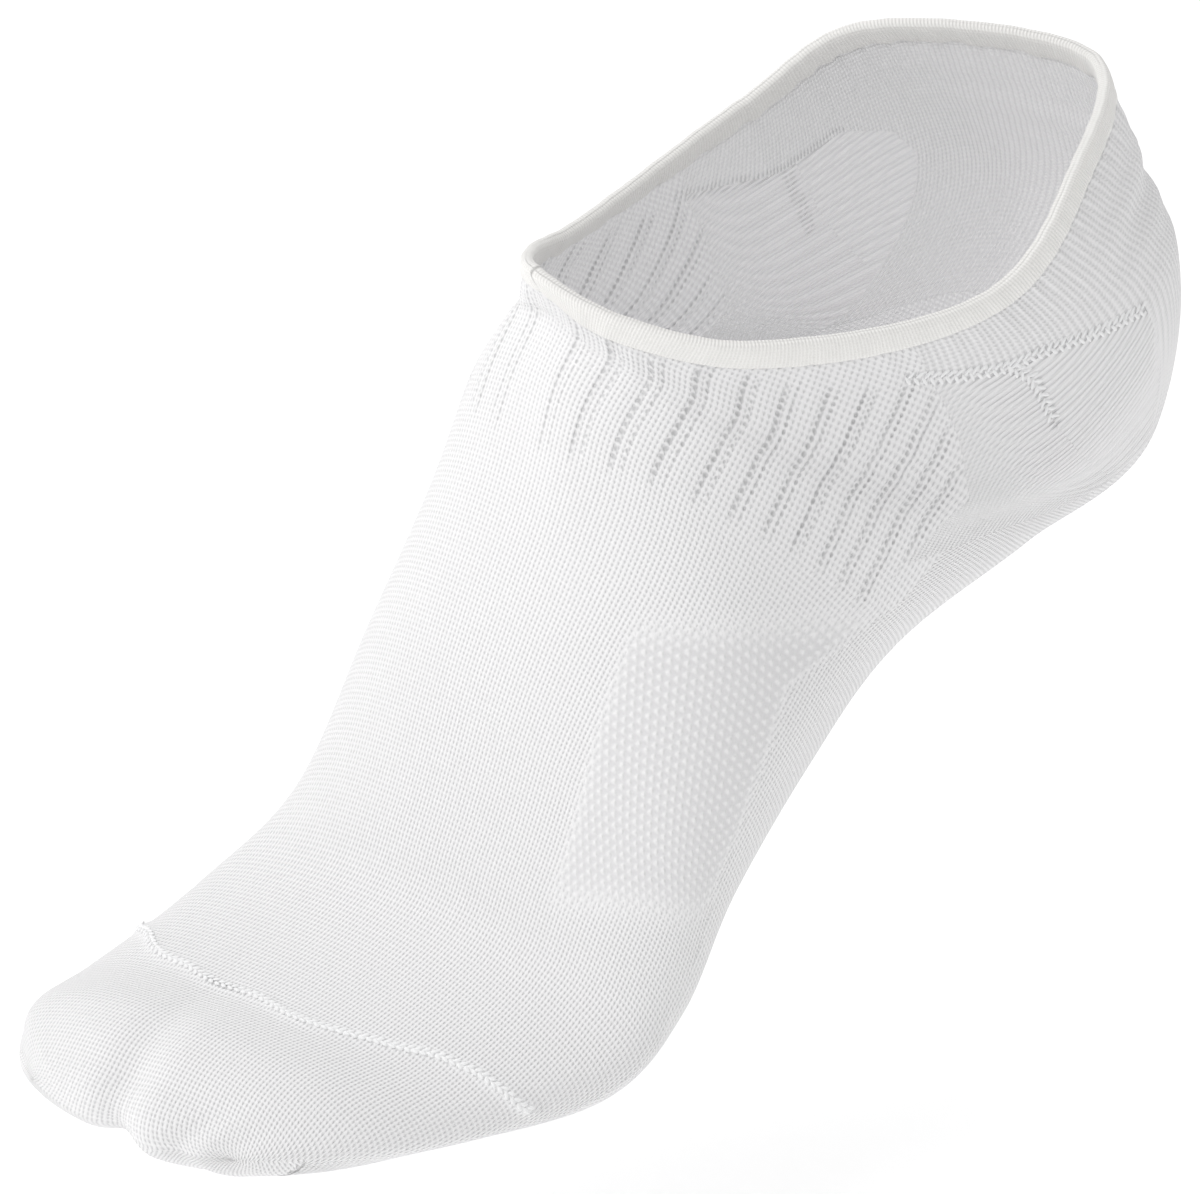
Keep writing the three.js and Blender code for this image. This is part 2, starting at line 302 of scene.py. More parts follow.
def lineRows(name):
    rows = np.array(lines[name], float)
    if name in measuredFromToe:
        place = (rows[:, 0] % 360) * form["angleSteps"] / 360
        rows[:, 1] = np.interp(place, np.arange(form["angleSteps"]), field["total"]) - rows[:, 1]
    return rows


seamLines = {name: lineOnSurface(lineRows(name), lineSpacing) for name in lines}
print("surface and lines worked out")


def distanceTo(points, names):
    # Worked out in batches, which keeps the table of gaps small
    near = np.concatenate([seamLines[name]["points"] for name in names])
    flat = points.reshape(-1, 3)
    nearest = np.empty(len(flat))
    batch = 20000
    for start in range(0, len(flat), batch):
        gap = flat[start:start + batch][:, None, :] - near[None, :, :]
        nearest[start:start + batch] = np.sqrt((gap ** 2).sum(2).min(1))
    return nearest.reshape(points.shape[:-1])


# Relief of the cloth
relief = {
    "foldColumns": ("angle", "back", "turn", "length", "width", "depth"),
    "folds": (
        (168, 12, 82, 30, 4.5, 0.5), (176, 22, 96, 34, 5, -0.5), (160, 32, 84, 26, 5, 0.4),
        (-10, 16, 12, 16, 5, -0.7), (12, 22, -16, 18, 6, 0.6),
    ),
    "lobeColumns": ("place", "lean", "width", "reach", "depth"),
    "lobes": (
        (-2, -0.27, 4, 26, -2.1), (4.5, -0.22, 4.5, 22, 0.6), (9.5, 0.3, 2.6, 10, -1),
        (17, 0.3, 2.6, 10, -0.8), (26, 0.3, 2.6, 10, -0.7),
    ),
    "foldGirthRadius": 38,
    "foldStart": (5, 14),
    "swellHeight": 0.12,
    "swellStart": (6, 25),
    "gatherBack": 5,
    "gatherReach": 7,
    "gatherHeight": 0.22,
    "rippleHeight": 0.3,
    "rippleLength": 8.5,
    "rippleBack": 6,
    "rippleAngle": (105, 150),
    "rippleEnd": 34,
    "rippleFade": 10,
    "laceDip": 0.22,
    "laceDipWidth": 0.2,
    "laceLevel": 0.35,
    "lacePhase": 0.4,
    "toeFade": 9,
    "seamHeight": 0.7,
    "seamWidth": 1.2,
    "goreDip": 0.15,
    "goreWidth": 0.9,
}


def sideOf(angle):
    return np.abs((angle + 180) % 360 - 180)


def foldHeight(angle, back):
    height = np.zeros(np.shape(angle))
    for row in relief["folds"]:
        fold = dict(zip(relief["foldColumns"], row))
        turn = math.radians(fold["turn"])
        around = np.radians((angle - fold["angle"] + 540) % 360 - 180) * relief["foldGirthRadius"]
        along = back - fold["back"]
        across = around * math.cos(turn) + along * math.sin(turn)
        down = along * math.cos(turn) - around * math.sin(turn)
        height += fold["depth"] * np.exp(-(across / fold["width"]) ** 2 - (down / fold["length"]) ** 2)
    ripple = np.sin((back - relief["rippleBack"]) * 2 * math.pi / relief["rippleLength"])
    ripple = ripple * smoothStep(sideOf(angle), *relief["rippleAngle"])
    ripple = ripple * smoothStep(relief["rippleEnd"] - back, 0, relief["rippleFade"])
    return smoothStep(back, *relief["foldStart"]) * (height + relief["rippleHeight"] * ripple)


def lobeHeight(across, fromToe):
    # The cloth over the toes: a long valley beside the great toe with a low rise, then three small valleys
    height = np.zeros(np.shape(across))
    for row in relief["lobes"]:
        lobe = dict(zip(relief["lobeColumns"], row))
        gap = across - lobe["place"] - lobe["lean"] * fromToe
        height += lobe["depth"] * np.exp(-(gap / lobe["width"]) ** 2 - (fromToe / lobe["reach"]) ** 2)
    return height


# Openwork: columns of holes, closer together down the sides than on the instep
laceShape = {
    "columnAt": (0, 5.9, 12.9, 21, 29, 37, 43.5, 49.7, 55, 60.5, 65.3, 70.2, 80),
    "columnNumber": (-0.8, 0, 1, 2, 3, 4, 5, 6, 7, 8, 9, 10, 12),
    "angles": (0, 9, 29, 48, 71, 98),
    "endLength": (150, 152, 156, 160, 163, 164),
    "rimAngles": (0, 41, 55, 62, 75),
    "rimBack": (5, 5, 8, 10.5, 12),
    "limitBack": (0, 12.7, 21, 26.5, 32.7, 43, 66, 86),
    "limitAngle": (72, 74, 77, 79, 81, 86, 90, 98),
    "clear": (3.5, 5.5),
    "shareAt": (5, 14, 26),
    "share": (0.45, 0.65, 1),
}


def laceColumn(grid):
    return np.interp(np.abs(grid["wale"]), laceShape["columnAt"], laceShape["columnNumber"])


def laceLimit(back):
    return np.interp(back, laceShape["limitBack"], laceShape["limitAngle"])


def laceShare(grid):
    side = sideOf(grid["angle"])
    wale = np.abs(grid["wale"])
    back = grid["back"]
    share = smoothStep(grid["length"] - np.interp(side, laceShape["angles"], laceShape["endLength"]), -2, 3)
    share = share * smoothStep(back - np.interp(side, laceShape["rimAngles"], laceShape["rimBack"]), -1, 2)
    share = share * smoothStep(laceLimit(back) - side, 0, 1.5) * smoothStep(wale, *laceShape["clear"])
    return share * np.interp(wale, laceShape["shareAt"], laceShape["share"])


# The heel is knitted in three fields that meet on the gore and on its branch
heelShape = {
    "gore": ((60, 3), (71, 11), (80, 14.5), (87, 17.5), (94, 19), (101, 21.5), (108, 25), (122, 32),
             (132, 62), (228, 62), (238, 27), (249, 20.5), (258, 20), (269, 19.5), (277, 15.5), (288, 11),
             (300, 3)),
    "ribAngle": (60, 75, 90, 100, 110, 130, 180),
    "ribNumber": (0, 14.5, 27, 33.5, 39, 48.5, 70),
    "leanAngle": (80, 106, 131, 160, 180),
    "lean": (0, 0.04, 0.08, 0.05, 0),
    "innerRib": 1.05,
    "innerLean": 0.33,
    "innerFade": 40,
    "rear": (0.067, 0.70),
    "front": (1.1, 0.86),
    "frontStart": 18.5,
    "frontCorner": (77, 70),
    "frontRound": 3,
    "branch": (88.4, 18, 0.72),
    "low": 66,
    "ribEnd": 64,
    "ribFade": 26,
    "turnedAngle": 124,
    "turnedWidth": 3,
    "turnedShare": 0.8,
}


def heelFields(grid):
    side = sideOf(grid["angle"])
    back = grid["back"]
    arc = np.abs(grid["instepArc"])
    gore = np.array(heelShape["gore"], float)
    above = np.interp(grid["angle"] % 360, gore[:, 0], gore[:, 1]) - back
    upper = np.interp(side, heelShape["ribAngle"], heelShape["ribNumber"])
    upper = upper - back * np.interp(side, heelShape["leanAngle"], heelShape["lean"])
    behind = smoothStep(180 - side, 0, heelShape["innerFade"])
    inner = heelShape["innerRib"] * side + heelShape["innerLean"] * back * behind
    rear = heelShape["rear"][0] * arc + heelShape["rear"][1] * back
    across, down = heelShape["front"]
    corner = np.where(grid["instepArc"] > 0, heelShape["frontCorner"][0], heelShape["frontCorner"][1])
    bend = heelShape["frontRound"]
    flat = np.clip(down * (back - heelShape["frontStart"]) / bend, -40, 40)
    steep = np.clip(across * (arc - corner) / bend, -40, 40)
    front = -bend * np.log(np.exp(-flat) + np.exp(-steep))
    start, depth, lean = heelShape["branch"]
    beside = arc - start - lean * (back - depth)
    share = np.minimum(side - laceLimit(back), heelShape["low"] - back)
    strength = smoothStep(heelShape["ribEnd"] - back, 0, heelShape["ribFade"])
    nearGore = np.exp(-(above / heelShape["turnedWidth"]) ** 2)
    turned = np.where(side > heelShape["turnedAngle"], heelShape["turnedShare"] * nearGore, 0)
    return {
        "heelRibs": (upper, rear, front),
        "heelZones": (above, beside, inner),
        "heelShare": (share, strength * (1 - turned), back),
    }


def wallRelief(grid):
    angle = grid["angle"]
    back = grid["back"]
    turn = np.radians(angle)
    swell = np.sin(3 * turn + back / 23) + np.sin(5 * turn - back / 17 + 1) + np.sin(back / 9 + 2 * turn)
    whole = foldHeight(angle, back)
    whole = whole + relief["swellHeight"] * swell * smoothStep(back, *relief["swellStart"])
    wave = np.sin(61 * turn + 1.3 * np.sin(4 * turn)) + 0.7 * np.sin(97 * turn + 2 * np.sin(3 * turn))
    gathers = np.exp(-np.maximum(back - relief["gatherBack"], 0) / relief["gatherReach"])
    whole = whole + relief["gatherHeight"] * gathers * wave
    lace = laceShare(grid)
    near = (laceColumn(grid) + relief["lacePhase"]) % 1 - 0.5
    dip = np.exp(-(near / relief["laceDipWidth"]) ** 2) - relief["laceLevel"]
    fine = -relief["laceDip"] * lace * dip
    seam = distanceTo(grid["points"], ("toeSeam",))
    gore = distanceTo(grid["points"], [name for name in lines if name.startswith("gore")])
    fine = fine + relief["seamHeight"] * np.exp(-(seam / relief["seamWidth"]) ** 2)
    fine = fine - relief["goreDip"] * np.exp(-(gore / relief["goreWidth"]) ** 2)
    start = smoothStep(grid["fromToe"], 0, relief["toeFade"])
    whole = whole * start + lobeHeight(grid["points"][..., 0], grid["fromToe"])
    return whole, fine * start, lace, seam, gore


# Material helpers
def newMaterial(name):
    material = bpy.data.materials.new(name)
    material.use_nodes = True
    material.node_tree.nodes.clear()
    return material, Net(material.node_tree)


class Net:

    def __init__(self, tree):
        self.tree = tree

    def node(self, kind, **settings):
        made = self.tree.nodes.new(kind)
        for name, value in settings.items():
            setattr(made, name, value)
        return made

    def feed(self, socket, value):
        if isinstance(value, bpy.types.NodeSocket):
            self.tree.links.new(value, socket)
        else:
            socket.default_value = value

    def fill(self, made, values):
        for name, value in values.items():
            self.feed(made.inputs[name], value)

    def finish(self, shader):
        output = self.node("ShaderNodeOutputMaterial")
        self.feed(output.inputs["Surface"], shader.outputs[0])

    def math(self, operation, first, second=0.0):
        made = self.node("ShaderNodeMath", operation=operation)
        for socket, value in zip(made.inputs, (first, second)):
            self.feed(socket, value)
        return made.outputs[0]

    def add(self, first, second):
        return self.math("ADD", first, second)

    def minus(self, first, second):
        return self.math("SUBTRACT", first, second)

    def times(self, first, second):
        return self.math("MULTIPLY", first, second)

    def over(self, first, second):
        return self.math("DIVIDE", first, second)

    def step(self, value, low, high):
        made = self.node("ShaderNodeMapRange", interpolation_type="SMOOTHSTEP")
        for socket, item in zip(made.inputs, (value, low, high, 0.0, 1.0)):
            self.feed(socket, item)
        return made.outputs[0]

    def above(self, value, limit):
        return self.math("GREATER_THAN", value, limit)

    def blend(self, share, first, second):
        made = self.node("ShaderNodeMix", data_type="FLOAT")
        self.fill(made, {"Factor": share, "A": first, "B": second})
        return made.outputs[0]

    def colour(self, share, first, second):
        made = self.node("ShaderNodeMix", data_type="RGBA")
        self.feed(made.inputs[0], share)
        self.feed(made.inputs[6], first)
        self.feed(made.inputs[7], second)
        return made.outputs[2]

    def attribute(self, name):
        made = self.node("ShaderNodeAttribute", attribute_name=name)
        split = self.node("ShaderNodeSeparateXYZ")
        self.tree.links.new(made.outputs["Vector"], split.inputs[0])
        return split.outputs

    def noise(self, scale, detail=2.0):
        place = self.node("ShaderNodeTexCoord")
        made = self.node("ShaderNodeTexNoise")
        self.fill(made, {"Vector": place.outputs["Object"], "Scale": scale, "Detail": detail})
        return made.outputs[0]

    def uneven(self, scale, detail, strength):
        return self.times(self.minus(self.noise(scale, detail), 0.5), strength)

    def wave(self, turns):
        return self.math("COSINE", self.times(turns, 2 * math.pi))

    def gauss(self, value, width):
        ratio = self.over(value, width)
        return self.math("EXPONENT", self.times(self.times(ratio, ratio), -1.0))

    def dot(self, across, along, width, height):
        first = self.over(across, width)
        second = self.over(along, height)
        total = self.add(self.times(first, first), self.times(second, second))
        return self.math("EXPONENT", self.times(total, -1.0))


def finishCloth(net, shade, height, dull, finish):
    bump = net.node("ShaderNodeBump")
    net.fill(bump, {"Strength": finish["bump"], "Distance": finish["depth"], "Height": height})
    shader = net.node("ShaderNodeBsdfPrincipled")
    net.fill(shader, {
        "Base Color": shade,
        "Normal": bump.outputs["Normal"],
        "Roughness": net.add(finish["roughness"], net.times(dull, 0.12)),
        "Sheen Weight": finish["sheen"],
        "Sheen Roughness": 0.5,
        "Specular IOR Level": 0.25,
    })
    if finish["glow"]:
        # Painted light: the cloth glows evenly, in place of light that comes through the thin knit
        net.fill(shader, {"Emission Color": shade, "Emission Strength": finish["glow"]})
    net.finish(shader)


# glow is painted light: an even emission on the inside and on the band
clothFinish = {
    "outside": {"bump": 0.9, "depth": 0.00032, "roughness": 0.84, "sheen": 0.25, "glow": 0},
    "inside": {"bump": 0.9, "depth": 0.00032, "roughness": 0.84, "sheen": 0.25, "glow": 0.125},
    "band": {"bump": 0.7, "depth": 0.00014, "roughness": 0.8, "sheen": 0.3, "glow": 0.06},
    "yarn": {"bump": 0.5, "depth": 0.0001, "roughness": 0.8, "sheen": 0.3, "glow": 0},
}

knitLook = {
    "soleWale": 0.9,
    "course": 0.93,
    "laceRow": 1.5,
    "strongHole": (0.052, 0.42),
    "weakHole": (0.04, 0.34),
    "weakAt": 0.27,
    "weakShare": 0.7,
    "holeNoise": 210.0,
    "holeDepth": 1.1,
    # strength of the painted shade in the holes
    "holeShadeShare": 0.78,
    "innerBack": 141,
    "tuckWales": 2,
    "tuckRow": 1.73,
    "tuckBump": (0.25, 0.28),
    # distance from the gore and width of its holes, then how open they are outside and inside
    "goreHole": (0.8, 0.45),
    "goreOpen": (0.55, 0.45),
    # width and strength of the paler yarn on the toe seam, and on the gore inside
    "toePale": (1.3, 0.75),
    "gorePale": (0.5, 0.8),
    # noise per metre, its detail and its strength
    "waver": (70.0, 2.0, 0.4),
    "fuzz": (5200.0, 3.0, 0.18),
    "patches": (38.0, 3.0, 0.08),
    "gapFrom": 0.62,
    "gapTo": 0.08,
    "colour": (0.90, 0.895, 0.90, 1),
    # painted shade in the grooves and gaps between stitches
    "gapShadeColour": (0.58, 0.58, 0.59, 1),
    # painted shade seen through the holes of the openwork and the gore
    "holeShadeColour": (0.51, 0.51, 0.515, 1),
    # painted light: the inside of the same cloth is given a lighter colour, and less dark gaps, than the
    # outside
    "insideBrightenedColour": (0.93, 0.925, 0.93, 1),
    "insideGapShade": (0.62, 0.62, 0.63, 1),
    "seamColour": (0.95, 0.95, 0.955, 1),
    # how strongly the gaps are darkened with painted shade
    "gapShadeShare": 0.5,
    "densityLength": (0, 33, 72, 105, 140, 155),
    "density": (1.25, 1.3, 1.36, 1.27, 1.07, 1.02),
}


def stitchHeight(net, wale, course):
    # Jersey: slanting legs in each wale, and a small gap beside each course in the grooves
    side = net.math("ABSOLUTE", net.minus(net.math("FRACT", wale), 0.5))
    slope = net.add(course, net.times(side, 0.8))
    lift = net.add(0.5, net.times(net.wave(slope), 0.5))
    rib = net.math("COSINE", net.times(side, math.pi))
    return net.add(net.times(rib, 0.62), net.times(lift, net.add(0.14, net.times(net.minus(1.0, rib), 0.3))))


def purlHeight(net, wale, course):
    # The back of the knitting: rows of small crossing bumps
    side = net.wave(wale)
    bent = net.add(course, net.times(side, 0.16))
    row = net.add(0.5, net.times(net.wave(bent), 0.5))
    return net.times(net.add(0.45, net.times(row, 0.55)), net.add(0.62, net.times(side, 0.38)))


def ribHeight(net, wale, course):
    # A rounded rib in each wale, lightly notched by the courses
    side = net.wave(wale)
    notch = net.wave(net.add(course, net.times(side, 0.2)))
    return net.add(net.add(0.56, net.times(side, 0.32)), net.times(notch, 0.1))


def laceHoles(net, number, length, lace):
    # A strong and a weak column of holes in every repeat of the openwork
    place = net.minus(net.math("FRACT", net.add(number, 0.5)), 0.5)
    row = net.over(length, knitLook["laceRow"])
    firstRow = net.times(net.minus(net.math("FRACT", row), 0.5), knitLook["laceRow"])
    otherRow = net.times(net.minus(net.math("FRACT", net.add(row, 0.5)), 0.5), knitLook["laceRow"])
    strong = net.dot(place, firstRow, *knitLook["strongHole"])
    weak = net.dot(net.minus(place, knitLook["weakAt"]), otherRow, *knitLook["weakHole"])
    holes = net.math("MAXIMUM", strong, net.times(weak, knitLook["weakShare"]))
    openness = net.step(net.noise(knitLook["holeNoise"]), 0.25, 0.6)
    return net.times(net.times(holes, lace), net.add(0.5, net.times(openness, 0.5)))


def tuckHeight(net, wale, course):
    # Tuck stitches: small bumps set in a brick pattern
    row = net.over(course, knitLook["tuckRow"])
    shift = net.math("FRACT", net.times(net.math("FLOOR", row), 0.5))
    column = net.add(net.over(wale, knitLook["tuckWales"]), shift)
    across = net.minus(net.math("FRACT", column), 0.5)
    along = net.add(net.minus(net.math("FRACT", row), 0.5), net.times(net.math("ABSOLUTE", across), 0.4))
    bump = net.dot(across, along, *knitLook["tuckBump"])
    return net.add(0.2, net.times(bump, 0.85))


def makeKnit(name, inside):
    material, net = newMaterial(name)
    instepWale, instepCourse, laceLength = net.attribute("instepKnit")
    lace, laceNumber = net.attribute("laceKnit")[:2]
    soleArc, soleCourse, soleZone = net.attribute("soleKnit")
    upperRib, rearRib, frontRib = net.attribute("heelRibs")
    aboveGore, besideBranch, innerRib = net.attribute("heelZones")
    heelPlace, ribStrength, heelBack = net.attribute("heelShare")
    toeDistance, goreDistance, tuckZone = net.attribute("knitMarks")
    toSole = net.above(soleZone, 0.0)
    toHeel = net.above(heelPlace, 0.0)
    waver = net.uneven(*knitLook["waver"])
    lower = net.blend(net.above(besideBranch, 0.0), frontRib, rearRib)
    if inside:
        upper = net.math("MAXIMUM", net.above(aboveGore, 0.0), net.above(innerRib, knitLook["innerBack"]))
        heelWale = net.blend(upper, lower, innerRib)
    else:
        heelWale = net.blend(net.above(aboveGore, 0.0), lower, upperRib)
    plainWale = net.blend(toSole, instepWale, net.over(soleArc, knitLook["soleWale"]))
    wale = net.add(net.blend(toHeel, plainWale, heelWale), waver)
    course = net.over(net.blend(toHeel, net.blend(toSole, instepCourse, soleCourse), heelBack),
                      knitLook["course"])
    if inside:
        height = purlHeight(net, wale, course)
    else:
        height = stitchHeight(net, wale, course)
        ribbed = ribHeight(net, wale, course)
        height = net.blend(net.times(toHeel, ribStrength), height, ribbed)
    holes = laceHoles(net, laceNumber, laceLength, lace)
    plain = net.minus(1.0, net.math("MAXIMUM", toSole, toHeel))
    tuck = net.times(tuckZone, plain)
    height = net.blend(tuck, height, tuckHeight(net, instepWale, instepCourse))

    # Small holes where the ribs end on the gore
    groove = net.step(net.wave(wale), -0.1, -0.8)
    beside, width = knitLook["goreHole"]
    gore = net.times(net.gauss(net.minus(goreDistance, beside), width), groove)
    holes = net.math("MAXIMUM", holes, net.times(gore, knitLook["goreOpen"][inside]))
    height = net.minus(height, net.times(holes, knitLook["holeDepth"]))

    height = net.add(height, net.uneven(*knitLook["fuzz"]))
    # Painted shade: the colour darkens where the stitches lie low, in the grooves and gaps between them; the
    # same mask roughens them
    gap = net.step(height, knitLook["gapFrom"], knitLook["gapTo"])
    light, dark = ("insideBrightenedColour", "insideGapShade") if inside else ("colour", "gapShadeColour")
    share = net.add(net.times(gap, knitLook["gapShadeShare"]), net.uneven(*knitLook["patches"]))
    shade = net.colour(share, knitLook[light], knitLook[dark])
    # Painted shade: the holes are darkened for the shade seen through them
    shade = net.colour(net.times(holes, knitLook["holeShadeShare"]), shade, knitLook["holeShadeColour"])
    width, strength = knitLook["toePale"]
    seam = net.times(net.gauss(toeDistance, width), strength)
    if inside:
        width, strength = knitLook["gorePale"]
        seam = net.math("MAXIMUM", seam, net.times(net.gauss(goreDistance, width), strength))
    shade = net.colour(seam, shade, knitLook["seamColour"])
    finishCloth(net, shade, height, gap, clothFinish["inside" if inside else "outside"])
    return material


bandLook = {
    "rib": 0.62,
    "loop": 0.55,
    "waver": (160.0, 2.0, 0.7),
    "fuzz": (4800.0, 3.0, 0.4),
    "gapFrom": 0.1,
    "gapTo": -0.6,
    "colour": (0.885, 0.875, 0.855, 1),
    # painted shade in the grooves of the rib
    "gapShadeColour": (0.68, 0.665, 0.64, 1),
    "gapShadeShare": 0.35,
}


def makeBandKnit():
    material, net = newMaterial("band_rib")
    around, across = net.attribute("bandKnit")[:2]
    rib = net.wave(net.add(net.over(around, bandLook["rib"]), net.uneven(*bandLook["waver"])))
    loops = net.wave(net.add(net.over(across, bandLook["loop"]), net.times(rib, 0.12)))
    height = net.add(net.times(rib, 0.5), net.times(loops, 0.2))
    height = net.add(height, net.uneven(*bandLook["fuzz"]))
    # Painted shade: the colour darkens in the grooves between the ribs and loops
    gap = net.step(height, bandLook["gapFrom"], bandLook["gapTo"])
    shade = net.colour(net.times(gap, bandLook["gapShadeShare"]), bandLook["colour"], bandLook["gapShadeColour"])
    finishCloth(net, shade, height, gap, clothFinish["band"])
    return material


yarnColours = ((0.90, 0.90, 0.905, 1), (0.96, 0.96, 0.965, 1))


def makeYarn():
    material, net = newMaterial("linking_yarn")
    fibre = net.noise(3600.0, 3.0)
    finishCloth(net, net.colour(fibre, *yarnColours), fibre, fibre, clothFinish["yarn"])
    return material


knitOutside = makeKnit("jersey_outside", False)
knitInside = makeKnit("jersey_inside", True)
bandKnit = makeBandKnit()
yarn = makeYarn()
print("materials made")


# Mesh helpers
def addObject(name, data):
    made = bpy.data.objects.new(name, data)
    bpy.context.scene.collection.objects.link(made)
    return made


def addMesh(name, points, faces, materials, faceMaterial=None, attributes=None):
    mesh = bpy.data.meshes.new(name)
    mesh.from_pydata((np.asarray(points) * millimetre).tolist(), [], faces)
    mesh.polygons.foreach_set("use_smooth", [True] * len(mesh.polygons))
    for material in materials:
        mesh.materials.append(material)
    if faceMaterial is not None:
        mesh.polygons.foreach_set("material_index", faceMaterial)
    for key, values in (attributes or {}).items():
        layer = mesh.attributes.new(key, "FLOAT_VECTOR", "POINT")
        layer.data.foreach_set("vector", np.asarray(values, np.float32).ravel())
    mesh.update()
    return addObject(name, mesh)


# The knitted sock
knitGrid = {
    "columns": 320,
    "rows": 240,
    "toeCrowding": 1.12,
    "wall": 1.3,
    "shortOfEdge": 4.6,
    "innerStep": 2,
}

# Where the jersey of the sole meets the instep, as arc from the instep's middle line
soleShape = {
    "length": (14, 17, 40, 60, 90, 119, 144, 156, 170, 193),
    "arc": (300, 50, 54, 58, 62.5, 67, 66, 75, 84, 88),
}

# The patch of tuck stitches on the little toe side
tuckShape = {
    "arcStart": (31, 36),
    "lean": 0.65,
    "leanArc": 35,
    "start": (81, 91),
    "end": 140,
    "fade": 10,
    "soleFade": 3,
}


def knitAttributes(grid, lace, seam, gore):
    arc = grid["instepArc"]
    soleEdge = np.interp(grid["length"], soleShape["length"], soleShape["arc"])
    place = grid["length"] - tuckShape["lean"] * (arc - tuckShape["leanArc"])
    tuck = smoothStep(place, *tuckShape["start"]) * smoothStep(arc, *tuckShape["arcStart"])
    tuck = tuck * smoothStep(tuckShape["end"] - place, 0, tuckShape["fade"])
    density = np.interp(grid["length"], knitLook["densityLength"], knitLook["density"])
    values = {
        "instepKnit": (grid["wale"] * density, grid["instepCourse"], grid["length"]),
        "laceKnit": (lace, laceColumn(grid), np.zeros_like(lace)),
        "soleKnit": (grid["soleArc"], grid["soleCourse"], np.abs(arc) - soleEdge),
        "knitMarks": (seam, gore, tuck * smoothStep(soleEdge - arc, 0, tuckShape["soleFade"])),
    }
    values.update(heelFields(grid))
    return {name: np.stack(parts, -1) for name, parts in values.items()}


def makeSock():
    columns = np.arange(knitGrid["columns"]) * form["angleSteps"] / knitGrid["columns"]
    columns = columns.astype(int)
    rows = knitGrid["rows"]
    share = (np.arange(rows + 1) / rows) ** knitGrid["toeCrowding"]
    grid = sampleLines(columns, share[:, None] * (field["total"][columns] - knitGrid["shortOfEdge"]))
    grid["fromToe"] = grid["length"]
    grid["points"] = roundToe(grid["points"], grid["length"])
    whole, fine, lace, seam, gore = wallRelief(grid)
    normals = gridNormals(grid["points"])
    whole[0] = whole[1]
    fine[0] = fine[1]
    outer = grid["points"] + normals * (whole + fine)[..., None]
    step = knitGrid["innerStep"]
    innerFine = 0.5 * fine - knitGrid["wall"]
    inner = (grid["points"] + normals * (whole + innerFine)[..., None])[::step, ::step]
    outer[0] = (outer[0] + outer[0][toePartners(len(columns))]) / 2
    inner[0] = (inner[0] + inner[0][toePartners(inner.shape[1])]) / 2
    values = knitAttributes(grid, lace, seam, gore)
    faces, insideFaces = sockFaces(len(columns), rows, step)
    points = np.concatenate([outer.reshape(-1, 3), inner.reshape(-1, 3)])
    both = {name: np.concatenate([value.reshape(-1, 3), value[::step, ::step].reshape(-1, 3)])
            for name, value in values.items()}
    faceMaterial = [0] * (len(faces) - insideFaces) + [1] * insideFaces
    piece = addMesh("sock_knit", points, faces, (knitOutside, knitInside), faceMaterial, both)
    reworkMesh(piece, closeToe)
    return piece


def sockFaces(count, rows, step):
    # The outside, the strip that joins the two walls at the edge, and the coarser inside

    def quads(width, height, shift, flipped):
        made = []
        for row in range(height):
            for column in range(width):
                after = (column + 1) % width
                quad = (row * width + column, row * width + after,
                        (row + 1) * width + after, (row + 1) * width + column)
                quad = tuple(corner + shift for corner in quad)
                made.append(quad[::-1] if flipped else quad)
        return made

    shift = (rows + 1) * count
    inner = count // step
    faces = quads(count, rows, 0, False)
    edge = []
    for column in range(inner):
        here = rows * count + column * step
        middle = here + 1
        after = rows * count + (column + 1) * step % count
        low = shift + (rows // step) * inner + column
        lowAfter = shift + (rows // step) * inner + (column + 1) % inner
        edge += [(here, middle, low), (middle, lowAfter, low), (middle, after, lowAfter)]
    insides = quads(inner, rows // step, shift, True)
    return faces + edge + insides, len(insides)


def reworkMesh(piece, rework):
    work = bmesh.new()
    work.from_mesh(piece.data)
    rework(work)
    work.to_mesh(piece.data)
    work.free()


def closeToe(work):
    bmesh.ops.remove_doubles(work, verts=work.verts, dist=0.00001)
    bmesh.ops.dissolve_degenerate(work, edges=work.edges, dist=0.000001)


def dropLoosePoints(work):
    bmesh.ops.delete(work, geom=[point for point in work.verts if not point.link_faces], context="VERTS")


sock = makeSock()
print("sock made", len(sock.data.polygons))


# The band round the opening
bandShape = {
    "columns": 480,
    "corners": 36,
    "height": 5,
    "thickness": 2.6,
    "squareness": 3.4,
    "wall": 1.3,
    "openShare": 0.42,
    "rippleOut": 0.1,
    "rippleUp": 0.12,
    "insideShift": 7,
}


